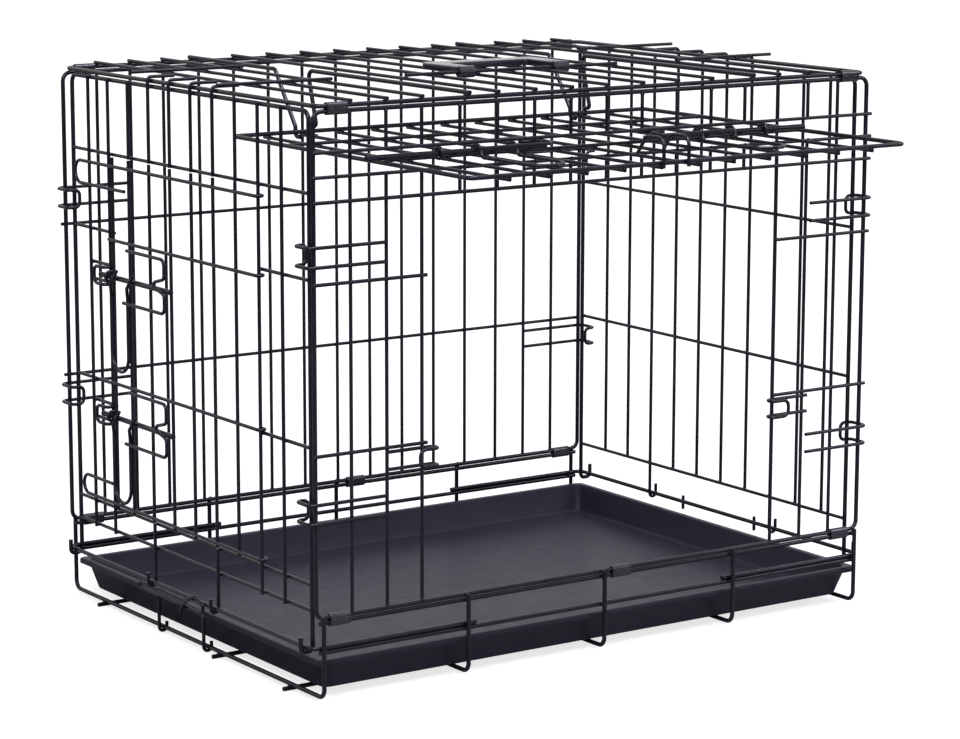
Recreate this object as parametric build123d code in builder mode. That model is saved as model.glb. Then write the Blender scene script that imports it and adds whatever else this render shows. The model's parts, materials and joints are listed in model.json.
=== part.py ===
"""Folding wire crate for a small dog: wire panels on a wire base, a plastic floor pan,
a front door raised like a canopy, a hinged side door, slide bolts, a pan gate and a carry handle.

Frame: +X along the crate, front at -Y, +Z up, origin on the floor under the middle. Sizes in mm."""
import os

from build123d import *

os.makedirs("parts", exist_ok=True)

# Overall size, measured between wire centre lines
post_length = 600.0
post_depth = 448.0
panel_bottom_z = 75.0
panel_height = 428.0

# Wire and rod diameters
frame_wire = 4.0
fill_wire = 3.2
base_wire = 4.0
bolt_rod = 5.0

# Fits
weld_gap = 0.05
hinge_gap = 0.4
run_gap = 0.3
sleeve_gap = 0.1
handle_bore_gap = 0.2
hook_play = 0.15
bend_play = 0.05
pan_end_gap = 1.8
pan_side_gap = 3.4

# Bends
panel_bend = 8.0
base_bend = 10.0
clip_bend = 6.0
turn_bend = 5.0
hook_bend = 4.0

# Doorways and spacing of the wires
jamb_x = 193.5
doorway_bays = 5
side_bays = 3
end_bays = 11
end_inset_x = 3.5
end_post_y = 212.0
stud = 3.0
wire_lap = 1.0

# Heights of the crosswires on the long panels, from the top wire or from the floor
slot_top_drop = 33.5
slot_sill_drop = 54.0
lintel_drop = 75.0
cross_high_z = 360.0
cross_low_z = 215.5

# Corner clips and the keepers for the doors' bolts
clip_high_z = 391.0
clip_low_z = 174.0
back_clip_high_z = 394.5
back_clip_low_z = 207.0
clip_width = 16.5
clip_reach = 19.5
clip_out = 7.0
clip_in = 5.0
keeper_drop = 4.0
keeper_width = 15.0
keeper_tip = 9.5
keeper_stand = 9.0
keeper_bulge = 19.0
side_keeper_half = 8.0

# Base
rung_inset = 5.0
mid_rail_z = 45.0
leg_top_z = 75.0
stringer_rear_y = 170.0
stringer_mid_y = -49.0
stringer_front_y = -172.0
stringer_over = 2.0
peg_rear_y = 50.0
peg_front_y = -64.0
peg_bottom_z = 40.0
peg_height = 14.0

# Hinge sleeves
sleeve_length = 20.0
sleeve_wall = 1.1
sleeve_x = 277.5
sleeve_mid_x = 20.0

# End panels
end_top_drop = 0.5
hook_reach = 27.0
hook_rise = 58.0
lintel_end_z = 434.5
end_high_z = 362.0
end_low_z = 220.0
sill_end_z = 102.0
end_bottom_z = 79.5
right_bottom_z = 82.0

# Front door, drawn in its raised position
door_half_width = 231.5
door_rear_y = 26.0
door_front_y = -353.0
door_lift = 1.15
door_bar_rear_y = -62.0
door_bar_front_y = -208.0
door_tail = 9.0
door_nose = 1.0
hanger_split = 8.5
hanger_rear_bend = 40.0
hanger_front_bend = 10.0
catch_first_x = -39.3
catch_second_x = -12.9
catch_height = 21.0
catch_span = 24.0
catch_foot = 36.0
catch_foot_rise = 5.5
catch_drop = 4.0

# Side door
side_top_z = 425.0
side_high_z = 357.0
side_low_z = 223.5
side_bottom_z = 109.0
side_stile_y = 128.0
side_loop_top_y = 195.0
side_loop_bottom_y = 190.0
side_loop_top_drop = 21.0
side_loop_bottom_rise = 18.0
side_door_gap = 1.0
side_curl_lap = 2.0

# Slide bolts
side_bolt_length = 134.0
front_bolt_length = 183.0
bolt_upper_z = 323.0
bolt_lower_z = 192.0
bolt_past = 11.0
front_bolt_y = -225.0
front_left_tip_x = -249.0
front_right_tip_x = 224.0
front_guide_x = 176.0
front_loop_x = 101.0
front_loop_width = 37.0
front_loop_y = -312.0
front_loop_lap = 5.0
front_loop_step = 9.0
front_loop_lean = 3.8
grip_low = 20.0
grip_high = 29.0
grip_inset = 5.0
grip_waist = 28.0
grip_pinch = 7.0
grip_leg_low = 78.0
grip_leg_high = 70.0
side_loop_low_z = 236.0
side_loop_start = 17.0
side_loop_knee = 6.0
side_loop_tip = 8.0
side_loop_knee_lean = 9.0
side_loop_lean = 22.0

# Floor pan and its gate
pan_over = 3.5
pan_rim_z = 37.0
pan_flange = 5.0
pan_lip = 5.0
pan_end_slope = 6.5
pan_side_slope = 9.0
pan_wall = 2.2
pan_corner = 9.0
pan_rim_corner = 5.0
gate_rear_y = 55.0
gate_front_y = -28.0
gate_turn_y = 91.0
gate_tail_y = 5.0
gate_top_z = 36.0
gate_tail_rise = 5.5
gate_hook_end = 4.0
gate_clip_stand = 9.3
gate_clip_rise = 18.6

# Carry handle
handle_y = -82.0
handle_wire_half = 117.0
handle_foot_x = 52.0
handle_foot_length = 17.0
handle_foot_radius = 5.4
handle_reach = 62.0
handle_grip_width = 21.0
handle_thickness = 6.0
handle_flare = 10.0

# Sizes that follow
frame_r = frame_wire / 2
fill_r = fill_wire / 2
base_r = base_wire / 2
bolt_r = bolt_rod / 2
half_x = post_length / 2
half_y = post_depth / 2
top_z = panel_bottom_z + panel_height
bay = jamb_x / doorway_bays
side_bay = (half_x - jamb_x) / side_bays
flush = frame_r - fill_r
cross_off = frame_r + fill_r + weld_gap
weld = fill_wire + weld_gap
rail_z = panel_bottom_z - frame_r - base_r - hinge_gap
roof_z = top_z + frame_wire + hinge_gap
slot_top_z = top_z - slot_top_drop
slot_sill_z = top_z - slot_sill_drop
lintel_z = top_z - lintel_drop
upright_low = panel_bottom_z + frame_r + weld_gap
upright_high = top_z - frame_r - weld_gap
cross_y = half_y + cross_off
upright_y = half_y + flush

rung_z = base_wire + weld_gap + base_r
leg_y = half_y + base_wire + weld_gap
rung_x = half_x - rung_inset
end_x = half_x - end_inset_x
end_wire_x = end_x + cross_off
end_cross_x = end_x + flush
loop_x = end_wire_x + fill_r + run_gap + base_r
loop_z = mid_rail_z + base_wire + weld_gap
end_top_z = top_z - end_top_drop
end_pitch = 2 * end_post_y / end_bays
end_cross_half = end_post_y - frame_r - weld_gap
wire_top_z = end_top_z + fill_r
roof_x = end_wire_x - fill_r - run_gap - frame_r
roof_cross_z = roof_z + cross_off
roof_long_z = roof_cross_z + weld
roof_hook_z = roof_z + frame_r + run_gap + fill_r

outer_x = jamb_x + 2 * side_bay
inner_x = jamb_x + side_bay
door_rod_z = slot_sill_z + fill_wire + door_lift
door_z = door_rod_z + cross_off
door_cross_z = door_z - flush
hanger_x = bay * (doorway_bays - 1)
hanger_z = roof_z + frame_wire + weld_gap
hook_half = frame_wire + run_gap + hook_play
front_bolt_z = door_z + frame_r + run_gap + bolt_r
staple_half = bolt_r + run_gap + fill_r
grip_off = bolt_r + weld_gap + fill_r

side_axis_x = -end_wire_x
side_axis_y = -end_pitch * (end_bays / 2 - 2)
side_curl = fill_wire + run_gap
side_bar_x = side_axis_x - side_curl
side_rod_x = side_bar_x + weld
side_bolt_x = side_rod_x - fill_r - run_gap - bolt_r
second_stile_y = -side_axis_y - end_pitch
side_low_end = sill_end_z + wire_lap + side_door_gap
side_high_end = lintel_end_z - wire_lap - side_door_gap
side_tip_y = -side_axis_y + bolt_past
side_guide_x = side_bolt_x - staple_half

gate_curl = base_r + run_gap + fill_r
gate_x = -rung_x - gate_curl
pan_bottom_z = rung_z + base_r + run_gap
pan_left_x = gate_x + fill_r + pan_end_gap
pan_right_x = half_x + pan_over
pan_x = (pan_left_x + pan_right_x) / 2
pan_half_length = (pan_right_x - pan_left_x) / 2
pan_half_depth = leg_y - base_r - pan_side_gap


def wires_along_x(spots, start, end, diameter):
    """Straight wires parallel to X at the given (y, z) spots."""
    with BuildSketch(Plane.YZ.offset(start)) as section:
        with Locations(*spots):
            Circle(diameter / 2)
    extrude(section.sketch, amount=end - start)


def wires_along_y(spots, start, end, diameter):
    """Straight wires parallel to Y at the given (x, z) spots."""
    with BuildSketch(Plane.XZ.offset(-end)) as section:
        with Locations(*spots):
            Circle(diameter / 2)
    extrude(section.sketch, amount=end - start)


def wires_along_z(spots, start, end, diameter):
    """Straight wires parallel to Z at the given (x, y) spots."""
    with BuildSketch(Plane.XY.offset(start)) as section:
        with Locations(*spots):
            Circle(diameter / 2)
    extrude(section.sketch, amount=end - start)


def bent_wire(points, diameter, bends):
    """One wire bent at every inner point."""
    with BuildLine() as route:
        FilletPolyline(*points, radius=bends)
    with BuildSketch(Plane(origin=route.line @ 0, z_dir=route.line % 0)) as section:
        Circle(diameter / 2)
    sweep(sections=section.sketch, path=route.line)


def wire_ring(points, diameter, bend):
    """One wire bent into a closed frame."""
    with BuildLine() as route:
        FilletPolyline(*points, radius=bend, close=True)
    with BuildSketch(Plane(origin=route.line @ 0, z_dir=route.line % 0)) as section:
        Circle(diameter / 2)
    sweep(sections=section.sketch, path=route.line)


def panel_points(y):
    """Corners of a long panel's frame wire."""
    return [
        (half_x, y, panel_bottom_z),
        (half_x, y, top_z),
        (-half_x, y, top_z),
        (-half_x, y, panel_bottom_z),
    ]


def clip_points(side, face, upper_z):
    """A corner clip: two legs along a long panel, bent behind the end post and joined by a turn."""
    leg_x = side * (inner_x + stud)
    tip_x = side * (half_x + clip_out)
    rear_x = side * (half_x - clip_in)
    y = face * cross_y
    back_y = face * (half_y - clip_reach)
    lower_z = upper_z - clip_width
    return [
        (leg_x, y, upper_z),
        (tip_x, y, upper_z),
        (tip_x, back_y, upper_z),
        (rear_x, back_y, upper_z),
        (rear_x, back_y, lower_z),
        (tip_x, back_y, lower_z),
        (tip_x, y, lower_z),
        (leg_x, y, lower_z),
    ]


def end_frame_points(side):
    """An end panel's frame wire: two posts, the top wire, and a hook under the base loop at each foot."""
    inner = side * end_x
    outer = side * (loop_x + base_r + run_gap + frame_r)
    low = loop_z - base_r - run_gap - frame_r
    return [
        (outer, -end_post_y, hook_rise),
        (outer, -end_post_y, low),
        (inner, -end_post_y, low),
        (inner, -end_post_y, end_top_z),
        (inner, end_post_y, end_top_z),
        (inner, end_post_y, low),
        (outer, end_post_y, low),
        (outer, end_post_y, hook_rise),
    ]


def roof_hook_points(side, y, low):
    """An end wire that rises past the roof's end wire and turns in over it."""
    x = side * end_wire_x
    return [(x, y, low), (x, y, roof_hook_z), (x - side * hook_reach, y, roof_hook_z)]


def base_hook_points(side, y, high):
    """An end wire whose foot hooks under the base loop."""
    inner = side * end_wire_x
    outer = side * (loop_x + base_r + run_gap + fill_r)
    low = loop_z - base_r - run_gap - fill_r
    return [(inner, y, high), (inner, y, low), (outer, y, low), (outer, y, hook_rise)]


def hanger_points(x, end_y, bend_y):
    """The front hanger rod: along the roof, down to the door, round its rear bar in an open hook."""
    high = door_z + hook_half
    low = door_z - hook_half
    back = door_rear_y + hook_half
    return [
        (x, end_y, hanger_z),
        (x, bend_y, hanger_z),
        (x, door_rear_y - hook_half, high),
        (x, back, high),
        (x, back, low),
        (x, door_rear_y - hook_half, low),
    ]


def long_hanger_points(x, end_y, bend_y):
    """The rear hanger rod: along the roof, down behind the door's rear bar and forward under it."""
    low = door_z - hook_half
    back = door_rear_y + hook_half
    return [
        (x, end_y, hanger_z),
        (x, bend_y, hanger_z),
        (x, back, door_z + hook_half),
        (x, back, low),
        (x, door_rear_y - hook_half, low),
    ]


def grip_points(tail, toward):
    """A grip like a figure three as (along, across) pairs, from the rod's end and the tip's direction."""
    lobe = tail + toward * grip_inset
    middle = (grip_high - grip_low) / 2
    return [
        (lobe + toward * grip_leg_low, -grip_low),
        (lobe, -grip_low),
        (lobe, middle - grip_pinch),
        (lobe + toward * grip_waist, middle),
        (lobe, middle + grip_pinch),
        (lobe, grip_high),
        (lobe + toward * grip_leg_high, grip_high),
    ]


hook_frame_bend = base_r + run_gap + frame_r
hook_fill_bend = (loop_x + base_r + run_gap + fill_r - end_wire_x) / 2 - bend_play
end_bends = [hook_frame_bend, hook_frame_bend, panel_bend, panel_bend, hook_frame_bend, hook_frame_bend]
hook_half_bend = hook_half - bend_play
hanger_bends = [clip_bend, stud, hook_half_bend, hook_half_bend]
long_hanger_bends = [clip_bend, clip_bend, hook_half_bend]
staple_bend = staple_half - bend_play
clip_bends = [clip_bend, turn_bend, turn_bend, turn_bend, turn_bend, clip_bend]
keeper_bends = [hook_bend, hook_bend, clip_bend, clip_bend, hook_bend, hook_bend]
grip_bends = [clip_bend, turn_bend, stud, turn_bend, clip_bend]
fan = [bay * n for n in range(-doorway_bays, doorway_bays + 1)]
short_fan = [bay * n for n in range(1 - doorway_bays, doorway_bays)]
sides = [inner_x, -inner_x, outer_x, -outer_x]

# Base: stringers, rungs with legs, rails, end loops and pegs
with BuildPart() as floor_stringers:
    wires_along_x(
        [(stringer_rear_y, base_r), (stringer_mid_y, base_r), (stringer_front_y, base_r)],
        -half_x - stringer_over,
        half_x + stringer_over,
        base_wire,
    )
floor_stringers.part.label = "floor_stringers"
export_step(floor_stringers.part, "parts/floor_stringers.step")

with BuildPart() as base_rungs:
    for n in range(-2, 3):
        x = n * rung_x / 2
        bent_wire(
            [(x, -leg_y, leg_top_z), (x, -leg_y, rung_z), (x, leg_y, rung_z), (x, leg_y, leg_top_z)],
            base_wire,
            panel_bend,
        )
base_rungs.part.label = "base_rungs"
export_step(base_rungs.part, "parts/base_rungs.step")

with BuildPart() as base_rails:
    wires_along_x(
        [(-half_y, rail_z), (half_y, rail_z), (-half_y, mid_rail_z), (half_y, mid_rail_z)],
        -half_x + stud,
        half_x - stud,
        base_wire,
    )
base_rails.part.label = "base_rails"
export_step(base_rails.part, "parts/base_rails.step")

with BuildPart() as base_end_loops:
    for side in (-1, 1):
        tail = side * (rung_x / 2 - base_bend)
        bent_wire(
            [
                (tail, -half_y, loop_z),
                (side * loop_x, -half_y, loop_z),
                (side * loop_x, half_y, loop_z),
                (tail, half_y, loop_z),
            ],
            base_wire,
            base_bend,
        )
base_end_loops.part.label = "base_end_loops"
export_step(base_end_loops.part, "parts/base_end_loops.step")

with BuildPart() as pan_pegs:
    peg_x = loop_x + base_r + weld_gap + fill_r
    pegs = [(peg_x, peg_rear_y), (peg_x, peg_front_y)]
    wires_along_z(pegs, peg_bottom_z, peg_bottom_z + peg_height, fill_wire)
pan_pegs.part.label = "pan_pegs"
export_step(pan_pegs.part, "parts/pan_pegs.step")

# Front panel
with BuildPart() as front_frame:
    wire_ring(panel_points(-half_y), frame_wire, panel_bend)
front_frame.part.label = "front_frame"
export_step(front_frame.part, "parts/front_frame.step")

with BuildPart() as front_uprights:
    jambs = [(x, -upright_y) for x in (jamb_x, -jamb_x, inner_x, -inner_x)]
    wires_along_z([(outer_x, -upright_y), (-outer_x, -upright_y)], upright_low, upright_high, fill_wire)
    wires_along_z(jambs, upright_low, slot_sill_z + wire_lap, fill_wire)
front_uprights.part.label = "front_uprights"
export_step(front_uprights.part, "parts/front_uprights.step")

with BuildPart() as front_transom:
    above = [(x, -upright_y) for x in fan + [inner_x, -inner_x]]
    below = [(x, -upright_y) for x in short_fan]
    wires_along_z(above, slot_top_z - wire_lap, upright_high, fill_wire)
    wires_along_z(below, lintel_z - wire_lap, slot_sill_z + wire_lap, fill_wire)
front_transom.part.label = "front_transom"
export_step(front_transom.part, "parts/front_transom.step")

with BuildPart() as front_crosswires:
    levels = [(-cross_y, slot_top_z), (-cross_y, slot_sill_z), (-cross_y, lintel_z)]
    short_levels = [(-cross_y, cross_high_z), (-cross_y, cross_low_z)]
    wires_along_x(levels, -half_x - stud, half_x + stud, fill_wire)
    wires_along_x(short_levels, -half_x - stud, -jamb_x + stud, fill_wire)
    wires_along_x(short_levels, jamb_x - stud, half_x + stud, fill_wire)
front_crosswires.part.label = "front_crosswires"
export_step(front_crosswires.part, "parts/front_crosswires.step")

with BuildPart() as front_clips:
    for side in (-1, 1):
        for z in (clip_high_z, clip_low_z):
            bent_wire(clip_points(side, -1, z), fill_wire, clip_bends)
front_clips.part.label = "front_clips"
export_step(front_clips.part, "parts/front_clips.step")

with BuildPart() as front_keepers:
    for side in (-1, 1):
        upper = cross_low_z - keeper_drop
        lower = upper - keeper_width
        heel = side * (inner_x + stud)
        tip = side * (jamb_x - keeper_tip)
        bulge = tip + side * keeper_bulge
        face_y = -cross_y - keeper_stand
        bent_wire(
            [
                (heel, -cross_y, upper),
                (tip, -cross_y, upper),
                (tip, face_y, upper),
                (bulge, face_y, upper),
                (bulge, face_y, lower),
                (tip, face_y, lower),
                (tip, -cross_y, lower),
                (heel, -cross_y, lower),
            ],
            fill_wire,
            keeper_bends,
        )
front_keepers.part.label = "front_keepers"
export_step(front_keepers.part, "parts/front_keepers.step")

# Back panel
with BuildPart() as back_frame:
    wire_ring(panel_points(half_y), frame_wire, panel_bend)
back_frame.part.label = "back_frame"
export_step(back_frame.part, "parts/back_frame.step")

with BuildPart() as back_uprights:
    wires_along_z([(x, upright_y) for x in fan + sides], upright_low, upright_high, fill_wire)
back_uprights.part.label = "back_uprights"
export_step(back_uprights.part, "parts/back_uprights.step")

with BuildPart() as back_crosswires:
    wires_along_x([(cross_y, cross_high_z), (cross_y, cross_low_z)], -half_x - stud, half_x + stud, fill_wire)
back_crosswires.part.label = "back_crosswires"
export_step(back_crosswires.part, "parts/back_crosswires.step")

with BuildPart() as back_clips:
    for side in (-1, 1):
        for z in (back_clip_high_z, back_clip_low_z):
            bent_wire(clip_points(side, 1, z), fill_wire, clip_bends)
back_clips.part.label = "back_clips"
export_step(back_clips.part, "parts/back_clips.step")

# Sleeves that hinge the long panels on the base and the roof on the long panels
with BuildPart() as bottom_sleeves:
    for y in (-half_y, half_y):
        for x in (-sleeve_x, sleeve_mid_x, sleeve_x):
            middle = (rail_z + panel_bottom_z) / 2
            spread = panel_bottom_z - rail_z
            with BuildSketch(Plane.YZ.offset(x - sleeve_length / 2)) as section:
                with Locations((y, middle)):
                    SlotCenterToCenter(spread, frame_wire + 2 * sleeve_gap + 2 * sleeve_wall, rotation=90)
                    SlotCenterToCenter(spread, frame_wire + 2 * sleeve_gap, rotation=90, mode=Mode.SUBTRACT)
            extrude(section.sketch, amount=sleeve_length)
bottom_sleeves.part.label = "bottom_sleeves"
export_step(bottom_sleeves.part, "parts/bottom_sleeves.step")

with BuildPart() as roof_sleeves:
    for y in (-half_y, half_y):
        for x in (-sleeve_x, sleeve_x):
            middle = (roof_z + top_z) / 2
            spread = roof_z - top_z
            with BuildSketch(Plane.YZ.offset(x - sleeve_length / 2)) as section:
                with Locations((y, middle)):
                    SlotCenterToCenter(spread, frame_wire + 2 * sleeve_gap + 2 * sleeve_wall, rotation=90)
                    SlotCenterToCenter(spread, frame_wire + 2 * sleeve_gap, rotation=90, mode=Mode.SUBTRACT)
            extrude(section.sketch, amount=sleeve_length)
roof_sleeves.part.label = "roof_sleeves"
export_step(roof_sleeves.part, "parts/roof_sleeves.step")

# Left end panel, with the side doorway
with BuildPart() as left_end_frame:
    bent_wire(end_frame_points(-1), frame_wire, end_bends)
left_end_frame.part.label = "left_end_frame"
export_step(left_end_frame.part, "parts/left_end_frame.step")

with BuildPart() as left_end_wires:
    full = [(-end_wire_x, s * n * end_pitch) for s in (-1, 1) for n in (3.5, 4.5)]
    upper = [(-end_wire_x, s * 2.5 * end_pitch) for s in (-1, 1)]
    wires_along_z(full, end_bottom_z - fill_r, wire_top_z, fill_wire)
    wires_along_z(upper, lintel_end_z - wire_lap, wire_top_z, fill_wire)
left_end_wires.part.label = "left_end_wires"
export_step(left_end_wires.part, "parts/left_end_wires.step")

with BuildPart() as left_end_hooks:
    for n in (-1.5, -0.5, 0.5, 1.5):
        bent_wire(roof_hook_points(-1, n * end_pitch, lintel_end_z - wire_lap), fill_wire, hook_bend)
    for n in (-1.5, 1.5):
        bent_wire(base_hook_points(-1, n * end_pitch, sill_end_z + wire_lap), fill_wire, hook_fill_bend)
left_end_hooks.part.label = "left_end_hooks"
export_step(left_end_hooks.part, "parts/left_end_hooks.step")

with BuildPart() as left_end_crosswires:
    long_levels = [(-end_cross_x, z) for z in (lintel_end_z, sill_end_z, end_bottom_z)]
    short_levels = [(-end_cross_x, z) for z in (end_high_z, end_low_z)]
    wires_along_y(long_levels, -end_cross_half, end_cross_half, fill_wire)
    wires_along_y(short_levels, -end_cross_half, side_axis_y + stud, fill_wire)
    wires_along_y(short_levels, -side_axis_y - stud, end_cross_half, fill_wire)
left_end_crosswires.part.label = "left_end_crosswires"
export_step(left_end_crosswires.part, "parts/left_end_crosswires.step")

with BuildPart() as side_keepers:
    heel_y = -side_axis_y + end_pitch + stud
    tip_y = (side_stile_y - side_axis_y) / 2
    bulge_y = tip_y + keeper_bulge
    wrap = -side_axis_y - tip_y
    for z in (bolt_upper_z, bolt_lower_z):
        upper = z + side_keeper_half
        lower = z - side_keeper_half
        bent_wire(
            [
                (-end_cross_x, heel_y, upper),
                (-end_cross_x, tip_y, upper),
                (side_guide_x, tip_y, upper),
                (side_guide_x, bulge_y, upper),
                (side_guide_x, bulge_y, lower),
                (side_guide_x, tip_y, lower),
                (-end_cross_x, tip_y, lower),
                (-end_cross_x, heel_y, lower),
            ],
            fill_wire,
            [wrap, turn_bend, clip_bend, clip_bend, turn_bend, wrap],
        )
side_keepers.part.label = "side_keepers"
export_step(side_keepers.part, "parts/side_keepers.step")

# Right end panel, closed
with BuildPart() as right_end_frame:
    bent_wire(end_frame_points(1), frame_wire, end_bends)
right_end_frame.part.label = "right_end_frame"
export_step(right_end_frame.part, "parts/right_end_frame.step")

with BuildPart() as right_end_wires:
    full = [(end_wire_x, s * n * end_pitch) for s in (-1, 1) for n in (3.5, 4.5)]
    wires_along_z(full, right_bottom_z - fill_r, wire_top_z, fill_wire)
right_end_wires.part.label = "right_end_wires"
export_step(right_end_wires.part, "parts/right_end_wires.step")

with BuildPart() as right_end_hooks:
    for n in (-1.5, -0.5, 0.5, 1.5):
        bent_wire(roof_hook_points(1, n * end_pitch, right_bottom_z - fill_r), fill_wire, hook_bend)
    for n in (-2.5, 2.5):
        bent_wire(base_hook_points(1, n * end_pitch, wire_top_z), fill_wire, hook_fill_bend)
right_end_hooks.part.label = "right_end_hooks"
export_step(right_end_hooks.part, "parts/right_end_hooks.step")

with BuildPart() as right_end_crosswires:
    levels = [(end_cross_x, z) for z in (end_high_z, end_low_z, right_bottom_z)]
    wires_along_y(levels, -end_cross_half, end_cross_half, fill_wire)
right_end_crosswires.part.label = "right_end_crosswires"
export_step(right_end_crosswires.part, "parts/right_end_crosswires.step")

# Roof
with BuildPart() as roof_frame:
    wire_ring(
        [
            (roof_x, -half_y, roof_z),
            (roof_x, half_y, roof_z),
            (-roof_x, half_y, roof_z),
            (-roof_x, -half_y, roof_z),
        ],
        frame_wire,
        panel_bend,
    )
roof_frame.part.label = "roof_frame"
export_step(roof_frame.part, "parts/roof_frame.step")

with BuildPart() as roof_crosswires:
    columns = [x for x in fan + sides if abs(abs(x) - hanger_x) > wire_lap]
    wires_along_y([(x, roof_cross_z) for x in columns], -half_y - stud, half_y + stud, fill_wire)
roof_crosswires.part.label = "roof_crosswires"
export_step(roof_crosswires.part, "parts/roof_crosswires.step")

with BuildPart() as roof_long_wires:
    rows = [(s * 2 * end_pitch, roof_long_z) for s in (-1, 1)]
    wires_along_x(rows, -half_x - 2 * stud, -jamb_x + stud, fill_wire)
    wires_along_x(rows, jamb_x - stud, half_x + 2 * stud, fill_wire)
    wires_along_x([(handle_y, roof_long_z)], -handle_wire_half, handle_wire_half, fill_wire)
roof_long_wires.part.label = "roof_long_wires"
export_step(roof_long_wires.part, "parts/roof_long_wires.step")

with BuildPart() as door_hangers:
    for middle in (-hanger_x, hanger_x):
        rear_x = middle - hanger_split
        front_x = middle + hanger_split
        rear = long_hanger_points(rear_x, half_y + stud, door_rear_y + hanger_rear_bend)
        front = hanger_points(front_x, -half_y - stud, door_rear_y + hanger_front_bend)
        bent_wire(rear, frame_wire, long_hanger_bends)
        bent_wire(front, frame_wire, hanger_bends)
door_hangers.part.label = "door_hangers"
export_step(door_hangers.part, "parts/door_hangers.step")

# Front door, raised and resting on the slot's sill wire
with BuildPart() as front_door_frame:
    wire_ring(
        [
            (door_half_width, door_front_y, door_z),
            (door_half_width, door_rear_y, door_z),
            (-door_half_width, door_rear_y, door_z),
            (-door_half_width, door_front_y, door_z),
        ],
        frame_wire,
        clip_bend,
    )
front_door_frame.part.label = "front_door_frame"
export_step(front_door_frame.part, "parts/front_door_frame.step")

with BuildPart() as front_door_bars:
    reach = door_half_width - frame_r - weld_gap
    rows = [(door_bar_rear_y, door_cross_z), (door_bar_front_y, door_cross_z)]
    wires_along_x(rows, -reach, reach, fill_wire)
front_door_bars.part.label = "front_door_bars"
export_step(front_door_bars.part, "parts/front_door_bars.step")

with BuildPart() as front_door_rods:
    spots = [(x, door_rod_z) for x in fan]
    wires_along_y(spots, door_front_y - door_nose, door_rear_y + door_tail, fill_wire)
front_door_rods.part.label = "front_door_rods"
export_step(front_door_rods.part, "parts/front_door_rods.step")

with BuildPart() as front_door_catches:
    for x in (catch_first_x, catch_second_x):
        y = door_front_y - cross_off
        bent_wire(
            [
                (x, y, door_z - catch_drop),
                (x, y, door_z + catch_height),
                (x, y + catch_span, door_z + catch_height),
                (x, y + catch_foot, door_z + catch_foot_rise),
            ],
            fill_wire,
            panel_bend,
        )
front_door_catches.part.label = "front_door_catches"
export_step(front_door_catches.part, "parts/front_door_catches.step")

# Wires on the front door that guide its bolts: a hook near each edge, and a long loop inboard of it
guide_start_y = door_bar_front_y + front_loop_lap
guide_step_y = door_bar_front_y - front_loop_step
guide_foot_z = door_cross_z + weld
guide_top_z = front_bolt_z + staple_half
guide_low_z = front_bolt_z - staple_half
guide_rear_y = front_bolt_y + staple_half
guide_front_y = front_bolt_y - staple_half
guide_bends = [stud, hook_bend, hook_bend, turn_bend]

with BuildPart() as front_bolt_guides:
    for x in (-front_guide_x, front_guide_x):
        bent_wire(
            [
                (x, guide_start_y, guide_foot_z),
                (x, guide_step_y, guide_foot_z),
                (x, guide_rear_y, guide_top_z),
                (x, guide_front_y, guide_top_z),
                (x, guide_front_y, guide_low_z),
                (x, guide_rear_y - wire_lap, guide_low_z),
            ],
            fill_wire,
            [stud, staple_bend, staple_bend, staple_bend],
        )
front_bolt_guides.part.label = "front_bolt_guides"
export_step(front_bolt_guides.part, "parts/front_bolt_guides.step")

with BuildPart() as front_bolt_loops:
    loop_turn = front_loop_width / 2 - bend_play
    for side in (-1, 1):
        inner = side * front_loop_x
        outer = side * (front_loop_x + front_loop_width)
        bent_wire(
            [
                (inner, guide_start_y, guide_foot_z),
                (inner, guide_step_y, guide_foot_z),
                (inner, guide_rear_y, guide_top_z),
                (inner, guide_front_y, guide_top_z),
                (inner, guide_front_y - front_loop_lean, door_cross_z),
                (inner, front_loop_y, door_cross_z),
                (outer, front_loop_y, door_cross_z),
                (outer, guide_front_y - front_loop_lean, door_cross_z),
                (outer, guide_front_y, guide_top_z),
                (outer, guide_rear_y, guide_top_z),
                (outer, guide_step_y, guide_foot_z),
                (outer, guide_start_y, guide_foot_z),
            ],
            fill_wire,
            guide_bends + [loop_turn, loop_turn] + guide_bends[::-1],
        )
front_bolt_loops.part.label = "front_bolt_loops"
export_step(front_bolt_loops.part, "parts/front_bolt_loops.step")

# Slide bolts of the front door: a rod and a wire grip bent like a figure three
front_grip_z = front_bolt_z + grip_off
left_tail_x = front_left_tip_x + front_bolt_length
right_tail_x = front_right_tip_x - front_bolt_length

with BuildPart() as front_left_rod:
    wires_along_x([(front_bolt_y, front_bolt_z)], front_left_tip_x, left_tail_x, bolt_rod)
front_left_rod.part.label = "front_left_rod"
export_step(front_left_rod.part, "parts/front_left_rod.step")

with BuildPart() as front_left_grip:
    shape = [(along, front_bolt_y + across, front_grip_z) for along, across in grip_points(left_tail_x, -1)]
    bent_wire(shape, fill_wire, grip_bends)
front_left_grip.part.label = "front_left_grip"
export_step(front_left_grip.part, "parts/front_left_grip.step")

with BuildPart() as front_right_rod:
    wires_along_x([(front_bolt_y, front_bolt_z)], right_tail_x, front_right_tip_x, bolt_rod)
front_right_rod.part.label = "front_right_rod"
export_step(front_right_rod.part, "parts/front_right_rod.step")

with BuildPart() as front_right_grip:
    shape = [(along, front_bolt_y + across, front_grip_z) for along, across in grip_points(right_tail_x, 1)]
    bent_wire(shape, fill_wire, grip_bends)
front_right_grip.part.label = "front_right_grip"
export_step(front_right_grip.part, "parts/front_right_grip.step")

# Side door, closed, hung on the left end's front jamb wire
curl = [side_axis_x + side_curl, side_axis_y - side_curl]
curl_bend = side_curl - bend_play

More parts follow.
